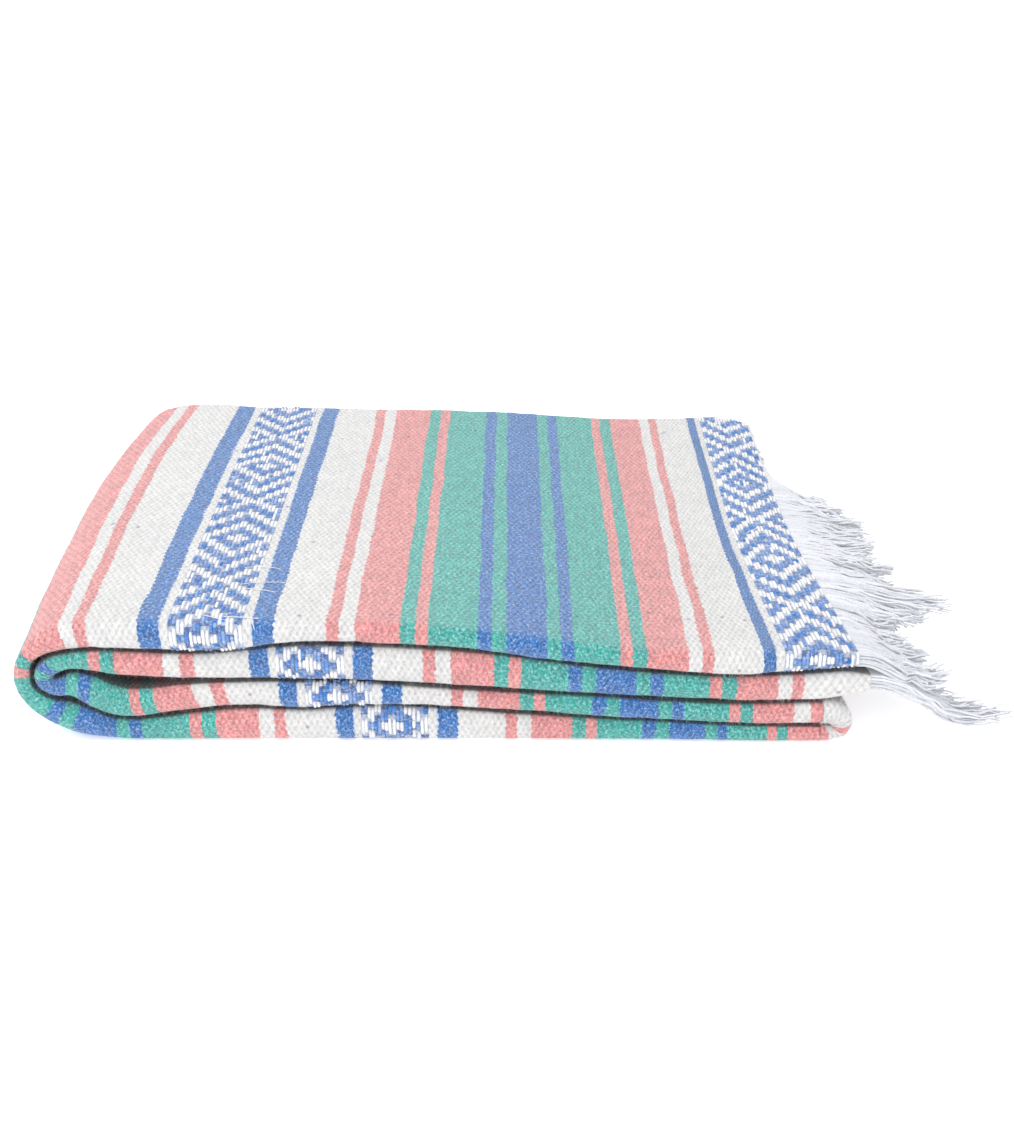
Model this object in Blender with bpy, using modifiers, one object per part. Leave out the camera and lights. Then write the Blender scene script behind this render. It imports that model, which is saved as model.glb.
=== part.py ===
# A woven striped blanket with fringed ends, folded twice across its width and twice along its length.
# Metres, +Z up, +X along the warp to the fringed side, +Y to the back, origin under the middle.
import math
import random

import bmesh
import bpy
from mathutils import Vector

MM = 0.001
FOLDED_DEPTH = 318 * MM
CLOTH = 2.2 * MM
SEAM_GAP = 0.3 * MM
LAYER_GAP = 0.5 * MM

# The first fold lies at the back: the outer layer rolls over there and runs a little way back inside.
ROLL_HEIGHT = 2 * CLOTH + 0.6 * MM
ROLL_LIP = 9 * MM
ROLL_STEPS = 4
FRONT_STEPS = 6
FRONT_ROUND = 8 * MM
FRONT_SHARE = 0.55
LAYER_SETBACK = 0.6 * MM
RIGHT_FOLD_SLACK = 0.6 * MM

# How much height the pile loses at the back, as a share. Columns: x in millimetres, share.
SETTLE = ((-250, 0.10), (-190, 0.145), (-35, 0.17), (65, 0.06), (133, 0.03), (180, 0.09))
LEFT_BULGE = 9 * MM
BULGE_FROM = -150 * MM
BULGE_OVER = 100 * MM
# How that builds up from the front to the back, with the left fold's bulge and the right ends' draw-in.
# Columns: y in millimetres, share of the settling, of the bulge and of the draw-in.
DEPTH_SHARES = (
    (-159, 0, 0, 0),
    (-90, 0.17, 0.5, 0.55),
    (-20, 0.42, 1, 1),
    (70, 0.72, 1.2, 1),
    (159, 1, 0.5, 0.95),
)

STRANDS_AN_END = 60
STRAND_RINGS = 4
STRIP_THICK = 1.6 * MM
STRIP_INSET = 2 * MM
STRAND_ROOT = 0.62
STRAND_TIP = 0.24
STRAND_FLATNESS = 0.8
STRAND_WAVE = 0.4 * MM
WAVES_A_STRAND = 1.3
DROOP_BY = 0.8
DRIFT_BEND = 1.4
LOCK_PITCH = 41 * MM
LOCK_PULL = 2.6 * MM
LOWEST_TIP = 1.5 * MM
TIP_RISE = 0.05
SHORTEST_STRAND = 0.84

# Each row is a section along the folded length, in millimetres on the front face.
# Columns: outer x, outer z, inner x, inner z, and how far the section draws in at the back.
# The outer side faces away from the fold's middle.
OUTER_ROWS = (
    (180.5, 55.8, 180.5, 46.4, 11.5),
    (169, 57.3, 169, 45.6, 11),
    (156, 57.6, 156, 44.4, 10),
    (126, 55.6, 126, 42.0, 5),
    (80, 57, 80, 43.6, 0),
    (35, 62, 35, 48.4, 0),
    (-11, 69, -11, 55.4, 0),
    (-46, 72.5, -46, 58.4, 0),
    (-83, 74.5, -83, 60.3, 0),
    (-121, 75, -121, 59.9, 0),
    (-158, 74.4, -158, 55.9, 0),
    (-190, 74.4, -190, 56.7, 0),
    (-213, 74, -213, 57.4, 0),
    (-229, 72, -226, 56.6, 0),
    (-240, 67.8, -235, 54.8, 0),
    (-248, 61.5, -242.8, 51.2, 0),
    (-254.5, 53, -247.4, 46.4, 0),
    (-258, 43.5, -248.5, 41.5, 0),
    (-258.4, 34, -248.9, 36.2, 0),
    (-255.5, 25.5, -246.4, 31.2, 0),
    (-249.5, 17.5, -241, 26.9, 0),
    (-239.5, 9.8, -231.5, 24.2, 0),
    (-227, 4.2, -222, 20.2, 0),
    (-213, 1.1, -211, 15.6, 0),
    (-198, 0, -198, 14.5, 0),
    (-184, 0, -184, 15.6, 0),
    (-168, 0, -168, 17.4, 0),
    (-140, 0, -140, 20.2, 0),
    (-107, 0, -107, 19.6, 0),
    (-72, 0, -72, 22, 0),
    (-46, 0, -46, 21.6, 0),
    (-11, 0, -11, 18.6, 0),
    (35, 0, 35, 15.6, 0),
    (80, 0, 80, 12.9, 0),
    (126, 0, 126, 9.9, 9),
    (166, 0, 166, 9.6, 16),
)
INNER_ROWS = (
    (188.5, 42, 188.5, 32.2, 20),
    (178, 43.6, 178, 28.6, 20),
    (166, 43, 166, 25.6, 18),
    (156, 42.3, 156, 25.2, 15),
    (126, 40.9, 126, 24.5, 8),
    (80, 42.8, 80, 26.5, 0),
    (35, 47.6, 35, 29.9, 0),
    (-11, 54.6, -11, 33.2, 0),
    (-46, 57.6, -46, 35.4, 0),
    (-83, 59.5, -83, 37.3, 0),
    (-121, 59.1, -121, 38, 0),
    (-158, 55.1, -158, 38.3, 0),
    (-180, 55.1, -181, 39.3, 0),
    (-200, 56.2, -201, 41, 0),
    (-213, 56.5, -214, 43.6, 0),
    (-226, 55.2, -224, 45.5, 0),
    (-237, 52.4, -231, 44.8, 0),
    (-244.6, 47, -235.6, 42.2, 0),
    (-247.1, 40, -237.4, 40.4, 0),
    (-245.2, 33, -236.4, 39.6, 0),
    (-238, 28.6, -233.6, 39.8, 0),
    (-229, 27.7, -226.8, 42.9, 0),
    (-221.5, 22, -217, 40.6, 0),
    (-210, 16.6, -208.2, 35.6, 0),
    (-197, 15.4, -198.6, 32.8, 0),
    (-184, 16.6, -186.5, 33.6, 0),
    (-168, 18.3, -174, 35.6, 0),
    (-140, 20.9, -140, 37.7, 0),
    (-107, 20.3, -107, 37.2, 0),
    (-72, 22.7, -72, 36.2, 0),
    (-46, 22.2, -46, 34.6, 0),
    (-11, 19.2, -11, 32.3, 0),
    (35, 16.2, 35, 29.2, 0),
    (80, 13.5, 80, 25.7, 0),
    (126, 10.6, 126, 23.7, 9),
    (166, 10.2, 166, 24.6, 16),
)
RIGHT_FOLD_ROWS = (
    (166.5, 0, 166.5, 9.6, 16),
    (172.5, 0.3, 168.8, 9.6, 16),
    (178.5, 3.2, 170.2, 9.7, 16),
    (181.8, 8.8, 170.8, 9.8, 16),
    (182, 14.5, 170.7, 10.05, 16),
    (178.8, 20.4, 169.9, 10.3, 16),
    (173, 24.1, 168.4, 10.3, 16),
    (166.5, 24.6, 166.5, 10.2, 16),
)

# Columns: y, reach to the right, drop and sideways drift of a strand's tip, in millimetres.
TOP_FRINGE_ROWS = (
    (-159, 54, 17, 6),
    (-128, 46, 15, 2),
    (-104, 42, 12, -4),
    (-90, 56, 10, -6),
    (-80, 74, 9, -8),
    (-64, 62, 8, -8),
    (-45, 54, 7, -8),
    (-10, 50, 6, -8),
    (24, 50, 6, -8),
    (40, 42, 7, -8),
    (60, 27, 9, -7),
    (75, 15, 16, -5),
    (159, 12, 22, -2),
)
SECOND_FRINGE_ROWS = (
    (-159, 88, 34, 12),
    (-138, 78, 32, 7),
    (-118, 60, 27, 0),
    (-95, 46, 20, -4),
    (-60, 44, 17, -5),
    (-20, 32, 16, -5),
    (15, 20, 17, -4),
    (45, 9, 18, -3),
    (75, 4, 17, -2),
    (159, 3.5, 17, -1),
)
COLOURS = {
    "cloth": (0.86, 0.46, 0.45),
    "under": (0.18, 0.50, 0.40),
    "layers": (0.86, 0.85, 0.82),
    "fringe": (0.74, 0.74, 0.78),
}


def clear_scene():
    for found in list(bpy.data.objects):
        bpy.data.objects.remove(found, do_unlink=True)


def new_collection(name):
    collection = bpy.data.collections.new(name)
    bpy.context.scene.collection.children.link(collection)
    return collection


def cloth_material(name, colour):
    material = bpy.data.materials.new(name)
    material.use_nodes = True
    shader = material.node_tree.nodes["Principled BSDF"]
    shader.inputs["Base Color"].default_value = (*colour, 1)
    shader.inputs["Roughness"].default_value = 0.95
    shader.inputs["Metallic"].default_value = 0
    return material


def smooth(value):
    held = min(max(value, 0), 1)
    return held * held * (3 - 2 * held)


def read_table(rows, position, column, ease=smooth):
    if position <= rows[0][0]:
        return rows[0][column]
    for low, high in zip(rows, rows[1:]):
        if position <= high[0]:
            share = ease((position - low[0]) / (high[0] - low[0]))
            return low[column] + share * (high[column] - low[column])
    return rows[-1][column]


# The laid pile: lower towards the back, fuller at the left fold, drawn in at the right. It changes evenly
# between the rows of DEPTH_SHARES, where each section has a point.
def settle(point, draw_in):
    x, y, z = point
    settling, bulging, drawing = (read_table(DEPTH_SHARES, y / MM, column, float) for column in (1, 2, 3))
    height = 1 - read_table(SETTLE, x / MM, 1) * settling
    bulge = LEFT_BULGE * smooth((BULGE_FROM - x) / BULGE_OVER) * bulging
    return Vector((x - bulge - draw_in * MM * drawing, y, z * height))


def inward_normal(low, high):
    along = (high - low).normalized()
    return Vector((-along.z, 0, along.x))


# Where one row's section stands: the cloth's outer and inner faces, and those of the layers inside it.
class Station:
    def __init__(self, row):
        self.outer = Vector((row[0] * MM, 0, row[1] * MM))
        self.inner = Vector((row[2] * MM, 0, row[3] * MM))
        self.across = (self.inner - self.outer).normalized()

    def set_back(self, before, after):
        self.outer_core = self.move_in("outer", before, after, 1)
        self.inner_core = self.move_in("inner", before, after, -1)

    def move_in(self, side, before, after, sign):
        here = getattr(self, side)
        normals = []
        if before:
            normals.append(inward_normal(getattr(before, side), here) * sign)
        if after:
            normals.append(inward_normal(here, getattr(after, side)) * sign)
        inset = CLOTH + LAYER_GAP
        if len(normals) == 1:
            straight = self.across * sign
            return here + straight * inset / normals[0].dot(straight)
        return here + (normals[0] + normals[1]) * inset / (1 + normals[0].dot(normals[1]))


def stations(rows):
    made = [Station(row) for row in rows]
    for index, station in enumerate(made):
        before = made[index - 1] if index else None
        after = made[index + 1] if index + 1 < len(made) else None
        station.set_back(before, after)
    return made


def spot(start, end, y, depth):
    place = start + (end - start).normalized() * depth
    return Vector((place.x, y, place.z))


def front_arc(height, reach, inset):
    arc = []
    for step in range(FRONT_STEPS + 1):
        turn = math.pi * step / FRONT_STEPS
        y = -FOLDED_DEPTH / 2 + inset + reach * (1 - math.sin(turn))
        arc.append((y, height / 2 * (1 - math.cos(turn))))
    return arc


def flat_run():
    return [row[0] * MM for row in DEPTH_SHARES[1:-1]]


# The cloth in section: rolled at the back, over the top, round the front fold and back underneath.
def cloth_section(station):
    height = (station.inner - station.outer).length
    reach = min(FRONT_SHARE * height, FRONT_ROUND)
    back = FOLDED_DEPTH / 2
    radius = ROLL_HEIGHT / 2
    path = [(back - ROLL_LIP, ROLL_HEIGHT)]
    for step in range(ROLL_STEPS + 1):
        turn = math.pi * (step / ROLL_STEPS - 0.5)
        path.append((back - radius + radius * math.cos(turn), radius - radius * math.sin(turn)))
    path += [(y, 0) for y in reversed(flat_run())] + front_arc(height, reach, 0)
    path += [(y, height) for y in flat_run()] + [(back, height)]
    return [spot(station.outer, station.inner, y, depth) for y, depth in path]


# The hidden layers in section: the upper one stops at the roll and the lower one runs on to the back edge.
def layers_section(station, slack):
    height = (station.inner_core - station.outer_core).length
    inset = CLOTH + LAYER_GAP
    whole = (station.inner - station.outer).length
    reach = min(FRONT_SHARE * whole, FRONT_ROUND) - inset
    step_y = FOLDED_DEPTH / 2 - ROLL_LIP - LAYER_GAP
    back = FOLDED_DEPTH / 2 - LAYER_SETBACK
    step_depth = ROLL_HEIGHT - CLOTH + slack
    path = [(back, height), (back, step_depth), (step_y, step_depth), (step_y, 0)]
    path += [(y, 0) for y in reversed(flat_run())] + front_arc(height, reach, inset)
    path += [(y, height) for y in flat_run()]
    return [spot(station.outer_core, station.inner_core, y, depth) for y, depth in path]


def add_object(name, mesh, material, collection):
    mesh.materials.clear()
    mesh.materials.append(material)
    mesh.shade_smooth()
    made = bpy.data.objects.new(name, mesh)
    collection.objects.link(made)
    return made


# Vertices run section by section, and a solidified wall repeats the whole run for its other face.
# The end sections stay upright, so that the seams keep their gap.
def bend_mesh(mesh, rows, sheet_size):
    section_size = sheet_size // len(rows)
    for vertex in mesh.vertices:
        row = rows[vertex.index % sheet_size // section_size]
        if row in (rows[0], rows[-1]):
            vertex.co.x = row[0] * MM
        vertex.co = settle(vertex.co, row[4])


def loft(rows, section, closed):
    shape = bmesh.new()
    rings = []
    for station in stations(rows):
        rings.append([shape.verts.new(place) for place in section(station)])
    count = len(rings[0])
    for near, far in zip(rings, rings[1:]):
        for index in range(count if closed else count - 1):
            after = (index + 1) % count
            shape.faces.new((far[index], far[after], near[after], near[index]))
    if closed:
        close_end(shape, rings[0])
        close_end(shape, rings[-1][::-1])
    return shape


# An end bends at the back, so it is closed in upright slices that pair the points either side of the fold.
def close_end(shape, ring):
    runs = len(flat_run()) + FRONT_STEPS // 2
    fold = ring.index(min(ring, key=lambda vertex: vertex.co.y))
    shape.faces.new((ring[fold - 1], ring[fold], ring[fold + 1]))
    for step in range(1, runs):
        shape.faces.new((ring[fold - step - 1], ring[fold - step], ring[(fold + step) % len(ring)],
                         ring[(fold + step + 1) % len(ring)]))
    rest = [ring[(fold + runs + index) % len(ring)] for index in range(len(ring) - 2 * runs + 1)]
    shape.faces.new(rest)


def make_cloth(name, rows, material, collection):
    shape = loft(rows, cloth_section, closed=False)
    sheet = bpy.data.meshes.new(name + "_sheet")
    shape.to_mesh(sheet)
    shape.free()
    guide = add_object(name + "_sheet", sheet, material, collection)
    wall = guide.modifiers.new("wall", "SOLIDIFY")
    wall.thickness = CLOTH
    wall.offset = -1
    wall.use_even_offset = True
    depsgraph = bpy.context.evaluated_depsgraph_get()
    mesh = bpy.data.meshes.new_from_object(guide.evaluated_get(depsgraph))
    mesh.name = name
    bend_mesh(mesh, rows, len(sheet.vertices))
    bpy.data.objects.remove(guide, do_unlink=True)
    return add_object(name, mesh, material, collection)


def make_layers(name, rows, slack, material, collection):
    shape = loft(rows, lambda station: layers_section(station, slack), closed=True)
    mesh = bpy.data.meshes.new(name)
    shape.to_mesh(mesh)
    shape.free()
    bend_mesh(mesh, rows, len(mesh.vertices))
    return add_object(name, mesh, material, collection)


# A strand leaves the strip level and droops to its lowest. Neighbours share one flow, so that they stay
# apart, and their lengths differ.
def strand_ring(root, share, rows, wave):
    y_mm = root.y / MM
    reach, drop, drift = (read_table(rows, y_mm, column) * MM for column in (1, 2, 3))
    gathered = LOCK_PULL * math.sin(2 * math.pi * root.y / LOCK_PITCH) * smooth(share)
    return Vector((
        root.x + reach * share,
        root.y + drift * share**DRIFT_BEND + gathered + wave * math.sin(2 * math.pi * WAVES_A_STRAND * share),
        max(root.z - drop * smooth(share / DROOP_BY), LOWEST_TIP + (root.z - LOWEST_TIP) * TIP_RISE),
    ))


def make_fringe(name, end_row, rows, seed, material, collection):
    random.seed(seed)
    station = Station(end_row)
    start = station.outer.x + SEAM_GAP
    top = station.outer.z - STRIP_INSET / 2
    bottom = station.inner.z + STRIP_INSET / 2
    front = -FOLDED_DEPTH / 2 + STRIP_INSET
    back = FOLDED_DEPTH / 2 - STRIP_INSET
    pitch = (back - front) / STRANDS_AN_END
    shape = bmesh.new()

    def strip_point(column, level, x):
        z = bottom + (top - bottom) * level / 2
        return settle(Vector((x, front + pitch * column, z)), end_row[4])

    face_x = start + STRIP_THICK
    outer = [[shape.verts.new(strip_point(column, level, face_x)) for level in range(3)]
             for column in range(STRANDS_AN_END + 1)]
    inner = [[shape.verts.new(strip_point(column, level, start)) for level in range(3)]
             for column in range(STRANDS_AN_END + 1)]
    roots = []
    for column in range(STRANDS_AN_END):
        for level in range(2):
            cell = shape.faces.new((
                outer[column][level], outer[column + 1][level],
                outer[column + 1][level + 1], outer[column][level + 1],
            ))
            if level == column % 2:
                roots.append(cell)
            shape.faces.new((
                inner[column][level + 1], inner[column + 1][level + 1],
                inner[column + 1][level], inner[column][level],
            ))
        for level, flip in ((0, 1), (2, -1)):
            edge = (inner[column][level], inner[column + 1][level],
                    outer[column + 1][level], outer[column][level])
            shape.faces.new(edge[::flip])
    for column, flip in ((0, -1), (STRANDS_AN_END, 1)):
        for level in range(2):
            edge = (inner[column][level], inner[column][level + 1],
                    outer[column][level + 1], outer[column][level])
            shape.faces.new(edge[::flip])

    for cell in roots:
        root = cell.calc_center_median()
        corners = [vertex.co - root for vertex in cell.verts]
        length = random.uniform(SHORTEST_STRAND, 1)
        wave = random.uniform(-STRAND_WAVE, STRAND_WAVE)
        previous = root.copy()
        for ring in range(1, STRAND_RINGS + 1):
            place = strand_ring(root, length * ring / STRAND_RINGS, rows, wave)
            along = (place - previous).normalized()
            side = Vector((0, 1, 0))
            side = (side - along * side.dot(along)).normalized()
            up = along.cross(side)
            width = STRAND_ROOT + (STRAND_TIP - STRAND_ROOT) * ring / STRAND_RINGS
            made = bmesh.ops.extrude_discrete_faces(shape, faces=[cell])
            cell = made["faces"][0]
            for vertex, corner in zip(cell.verts, corners):
                vertex.co = place + side * corner.y * width + up * corner.z * width * STRAND_FLATNESS
            previous = place
    bmesh.ops.recalc_face_normals(shape, faces=shape.faces)
    mesh = bpy.data.meshes.new(name)
    shape.to_mesh(mesh)
    shape.free()
    return add_object(name, mesh, material, collection)


def build_blanket():
    clear_scene()
    blanket = new_collection("folded_mexican_blanket")
    paint = {name: cloth_material(name, colour) for name, colour in COLOURS.items()}
    folds = (
        ("outer", OUTER_ROWS, 0, "cloth"),
        ("inner", INNER_ROWS, 0, "under"),
        ("right_fold", RIGHT_FOLD_ROWS, RIGHT_FOLD_SLACK, "under"),
    )
    for name, rows, slack, colour in folds:
        make_cloth(name + "_cloth", rows, paint[colour], blanket)
        make_layers(name + "_layers", rows, slack, paint["layers"], blanket)
    fringes = (
        ("top_fringe", OUTER_ROWS[0], TOP_FRINGE_ROWS, 3),
        ("second_fringe", INNER_ROWS[0], SECOND_FRINGE_ROWS, 8),
    )
    for name, end_row, rows, seed in fringes:
        make_fringe(name, end_row, rows, seed, paint["fringe"], blanket)


build_blanket()
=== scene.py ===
# Folded striped blanket in four bands, with a yarn fringe at its right end.
# Metres, the same frame as the loaded solids: X along the blanket, Y to the back, Z up.
import math

import bpy
import numpy as np
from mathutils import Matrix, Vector


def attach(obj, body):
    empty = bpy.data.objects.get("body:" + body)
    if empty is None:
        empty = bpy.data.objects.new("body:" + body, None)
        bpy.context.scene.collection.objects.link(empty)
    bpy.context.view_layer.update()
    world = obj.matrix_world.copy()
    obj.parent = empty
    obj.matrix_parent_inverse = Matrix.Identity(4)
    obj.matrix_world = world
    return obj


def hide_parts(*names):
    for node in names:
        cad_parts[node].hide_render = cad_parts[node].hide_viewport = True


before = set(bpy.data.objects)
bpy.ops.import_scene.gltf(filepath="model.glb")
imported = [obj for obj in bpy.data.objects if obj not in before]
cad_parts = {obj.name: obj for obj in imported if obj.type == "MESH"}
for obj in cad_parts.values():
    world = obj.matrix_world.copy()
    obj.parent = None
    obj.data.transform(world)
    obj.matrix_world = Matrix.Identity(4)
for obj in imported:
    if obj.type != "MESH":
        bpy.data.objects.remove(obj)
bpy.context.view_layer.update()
print("frame loaded:", ", ".join(sorted(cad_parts)))
scene = bpy.context.scene
mm = 0.001

# camera: where the photo was taken from, level and square to the front
shot = {"place": (0, -0.762, 0.4387), "down": 29, "lens": 43.7, "sensor": 36, "shift": -0.0018, "near": 0.01}
cameraData = bpy.data.cameras.new("camera")
cameraData.lens = shot["lens"]
cameraData.sensor_width = shot["sensor"]
cameraData.shift_x = shot["shift"]
cameraData.clip_start = shot["near"]
camera = bpy.data.objects.new("camera", cameraData)
camera.location = shot["place"]
camera.rotation_euler = (math.radians(90 - shot["down"]), 0, 0)
scene.collection.objects.link(camera)
scene.camera = camera

# the pile's form; the tables are in millimetres, as on the solids
pile = {
    "depth": 318 * mm,
    "wall": 2.2 * mm,  # one layer of cloth
    "gap": 0.5 * mm,  # between the cloth and what it wraps
    "round": 8 * mm,  # how far the front fold's rounding reaches
    "roundShare": 0.55,
    "squareness": 0.55,  # 1 is a round front fold, less is a flatter one with thinner seams
    "rollHeight": 5 * mm,
    "rollLip": 9 * mm,
    "rollSteps": 6,
    "bulge": 9 * mm,
    "bulgeFrom": -150 * mm,
    "bulgeOver": 100 * mm,
    # x and the share of height that the back loses there
    "settle": ((-250, 0.10), (-190, 0.145), (-35, 0.17), (65, 0.06), (133, 0.03), (180, 0.09)),
    # y, and the shares of the settling, the bulge and the draw-in
    "shares": ((-159, 0, 0, 0), (-90, 0.17, 0.5, 0.55), (-20, 0.42, 1, 1), (70, 0.72, 1.2, 1),
               (159, 1, 0.5, 0.95)),
}

# outer x and z, inner x and z, draw-in at the back
outerRows = (
    (180.5, 55.8, 180.5, 46.4, 11.5), (169, 57.3, 169, 45.6, 11), (156, 57.6, 156, 44.4, 10),
    (126, 55.6, 126, 42.0, 5), (80, 57, 80, 43.6, 0), (35, 62, 35, 48.4, 0), (-11, 69, -11, 55.4, 0),
    (-46, 72.5, -46, 58.4, 0), (-83, 74.5, -83, 60.3, 0), (-121, 75, -121, 59.9, 0),
    (-158, 74.4, -158, 55.9, 0), (-190, 74.4, -190, 56.7, 0), (-213, 74, -213, 57.4, 0),
    (-229, 72, -226, 56.6, 0), (-240, 67.8, -235, 54.8, 0), (-248, 61.5, -242.8, 51.2, 0),
    (-254.5, 53, -247.4, 46.4, 0), (-258, 43.5, -248.5, 41.5, 0), (-258.4, 34, -248.9, 36.2, 0),
    (-255.5, 25.5, -246.4, 31.2, 0), (-249.5, 17.5, -241, 26.9, 0), (-239.5, 9.8, -231.5, 24.2, 0),
    (-227, 4.2, -222, 20.2, 0), (-213, 1.1, -211, 15.6, 0), (-198, 0, -198, 14.5, 0),
    (-184, 0, -184, 15.6, 0), (-168, 0, -168, 17.4, 0), (-140, 0, -140, 20.2, 0),
    (-107, 0, -107, 19.6, 0), (-72, 0, -72, 22, 0), (-46, 0, -46, 21.6, 0), (-11, 0, -11, 18.6, 0),
    (35, 0, 35, 15.6, 0), (80, 0, 80, 12.9, 0), (126, 0, 126, 9.9, 9), (166, 0, 166, 9.6, 16),
)
innerRows = (
    (188.5, 42, 188.5, 32.2, 20), (178, 43.6, 178, 28.6, 20), (166, 43, 166, 25.6, 18),
    (156, 42.3, 156, 25.2, 15), (126, 40.9, 126, 24.5, 8), (80, 42.8, 80, 26.5, 0),
    (35, 47.6, 35, 29.9, 0), (-11, 54.6, -11, 33.2, 0), (-46, 57.6, -46, 35.4, 0),
    (-83, 59.5, -83, 37.3, 0), (-121, 59.1, -121, 38, 0), (-158, 55.1, -158, 38.3, 0),
    (-180, 55.1, -181, 39.3, 0), (-200, 56.2, -201, 41, 0), (-213, 56.5, -214, 43.6, 0),
    (-226, 55.2, -224, 45.5, 0), (-237, 52.4, -231, 44.8, 0), (-244.6, 47, -235.6, 42.2, 0),
    (-247.1, 40, -237.4, 40.4, 0), (-245.2, 33, -236.4, 39.6, 0), (-238, 28.6, -233.6, 39.8, 0),
    (-229, 27.7, -226.8, 42.9, 0), (-221.5, 22, -217, 40.6, 0), (-210, 16.6, -208.2, 35.6, 0),
    (-197, 15.4, -198.6, 32.8, 0), (-184, 16.6, -186.5, 33.6, 0), (-168, 18.3, -174, 35.6, 0),
    (-140, 20.9, -140, 37.7, 0), (-107, 20.3, -107, 37.2, 0), (-72, 22.7, -72, 36.2, 0),
    (-46, 22.2, -46, 34.6, 0), (-11, 19.2, -11, 32.3, 0), (35, 16.2, 35, 29.2, 0),
    (80, 13.5, 80, 25.7, 0), (126, 10.6, 126, 23.7, 9), (166, 10.2, 166, 24.6, 16),
)
rightFoldRows = (
    (165.9, 0, 165.9, 9.6, 16), (172.5, 0.3, 168.8, 9.6, 16), (178.5, 3.2, 170.2, 9.7, 16),
    (181.8, 8.8, 170.8, 9.8, 16), (182, 14.5, 170.7, 10.05, 16), (178.8, 20.4, 169.9, 10.3, 16),
    (173, 24.1, 168.4, 10.3, 16), (165.9, 24.6, 165.9, 10.2, 16),
)

# the woven stripes, in millimetres; they mirror about the middle of the diamond field and of the wide blue
weave = {
    "period": 322.4 * mm,
    "stripes": (  # width of each stripe from the middle of the diamond field, and its yarn
        (22.85, "field"), (10.8, "blue"), (26.6, "white"), (6.2, "pink"), (7.4, "white"), (23, "pink"),
        (7.6, "green"), (6, "pink"), (25.2, "green"), (6.9, "blue"), (7.7, "green"), (10.95, "blue"),
    ),
    "columns": 9,  # of floats, across the field
    "column": 4.19 * mm,
    "float": 318 / 36 * mm,  # one float's length
    "slant": 4.4 * mm,  # how much later each column starts than its inner neighbour
    "start": 11 * mm,
    "turn": 53 * mm,  # where the slant turns back, which closes a diamond
}
yarns = {
    "white": (231, 230, 228), "pink": (239, 149, 147), "green": (42, 184, 172),
    "blue": (8, 117, 198), "field": (205, 214, 230), "fringe": (194, 196, 203), "fringePale": (216, 217, 221),
    # the ground between the floats: the two yarns mixed, and the white ground also darkened as painted shade
    # between floats
    "groundWhiteShaded": (184, 194, 214), "groundBlueShaded": (84, 118, 178),
}


def linear(name):
    return [((c / 255 + 0.055) / 1.055) ** 2.4 for c in yarns[name]] + [1]


def smooth(value):
    held = np.clip(value, 0, 1)
    return held * held * (3 - 2 * held)


# a smooth line through table points
def throughPoints(x, y, at):
    x, y = np.asarray(x, float), np.asarray(y, float)
    slope = np.gradient(y, x)
    i = np.clip(np.searchsorted(x, at, side="right") - 1, 0, len(x) - 2)
    width = x[i + 1] - x[i]
    t = np.clip((at - x[i]) / width, 0, 1)
    return ((2 * t**3 - 3 * t**2 + 1) * y[i] + (t**3 - 2 * t**2 + t) * width * slope[i]
            + (3 * t**2 - 2 * t**3) * y[i + 1] + (t**3 - t**2) * width * slope[i + 1])


# smooth seeded noise between -1 and 1
def softNoise(a, b, seed):
    table = np.random.default_rng(seed).uniform(-1, 1, (64, 64))
    a, b = np.broadcast_arrays(np.asarray(a, float), np.asarray(b, float))
    i, j = np.floor(a).astype(int), np.floor(b).astype(int)
    s, t = smooth(a - i), smooth(b - j)
    near = table[i % 64, j % 64] * (1 - s) + table[(i + 1) % 64, j % 64] * s
    far = table[i % 64, (j + 1) % 64] * (1 - s) + table[(i + 1) % 64, (j + 1) % 64] * s
    return near * (1 - t) + far * t


def settle(x, y, z, draw):
    shares = np.array(pile["shares"], float)
    settling, bulging, drawing = (throughPoints(shares[:, 0] * mm, shares[:, k], y) for k in (1, 2, 3))
    loss = np.array(pile["settle"], float)
    within = np.clip(x, loss[0, 0] * mm, loss[-1, 0] * mm)
    height = 1 - throughPoints(loss[:, 0] * mm, loss[:, 1], within) * settling
    bulge = pile["bulge"] * smooth((pile["bulgeFrom"] - x) / pile["bulgeOver"]) * bulging
    return np.stack([x - bulge - draw * drawing, y + 0 * x, z * height], axis=-1)


# One stretch of folded cloth: evenly spaced stations along its length. Each anchor is an x at the front, the
# turn it lies on (0 before the fold's far end, 1 after it) and the place in the stripes' repeat found there.
def makeRun(rows, anchors, step):
    table = np.array(rows, float) * mm
    chord = np.concatenate([[0], np.cumsum(np.hypot(*np.diff(table[:, :2], axis=0).T))])
    fine = np.linspace(0, chord[-1], 4000)
    line = [throughPoints(chord, table[:, k], fine) for k in range(5)]
    length = np.concatenate([[0], np.cumsum(np.hypot(np.diff(line[0]), np.diff(line[1])))])
    at = np.linspace(0, length[-1], int(length[-1] / step) + 1)
    run = {name: np.interp(at, length, values) for name, values in zip(("ox", "oz", "ix", "iz", "draw"), line)}
    turn = int(np.argmax(np.abs(line[0] - line[0][0])))
    found = []
    for x, side, phase in anchors:
        piece = slice(turn, None) if side else slice(0, turn + 1)
        xs, ls = line[0][piece], length[piece]
        order = np.argsort(xs)
        found.append((np.interp(x * mm, xs[order], ls[order]), phase * mm))
    found.sort()
    run["phase"] = np.interp(at, [f[0] for f in found], [f[1] for f in found])
    run["at"] = at
    return run


# columns side by side, each one number or one for every station
def sideBySide(columns, stations):
    return np.hstack([column * np.ones_like(stations) for column in columns])


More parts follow.
